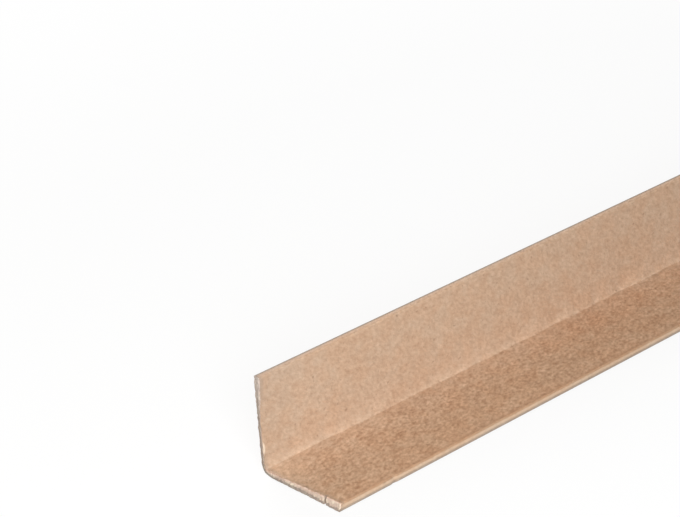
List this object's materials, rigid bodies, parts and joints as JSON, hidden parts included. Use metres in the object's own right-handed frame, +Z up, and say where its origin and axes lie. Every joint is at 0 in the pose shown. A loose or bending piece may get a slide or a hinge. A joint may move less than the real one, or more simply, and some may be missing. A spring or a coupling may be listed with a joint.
{
  "type": "pallet edge protector",
  "caption": "L-shaped board of glued paper plies in a kraft wrap, with a rounded fold and rounded free edges, laid along the edge of a pallet load to spread the pull of straps.",
  "frame": {"origin": "middle of the board's length and width, on the surface that the flat leg lies on", "axes": "+X along the fold, away from the nicked end; +Y across the flat leg, towards the standing leg; +Z up"},
  "size_m": [0.6, 0.05, 0.05],
  "materials": {
    "kraft_board": "matte brown kraft paper, paler along the free edges and on the cut ends"
  },
  "bodies": {
    "root": {"angle_board": "kraft_board"}
  },
  "joints": []
}
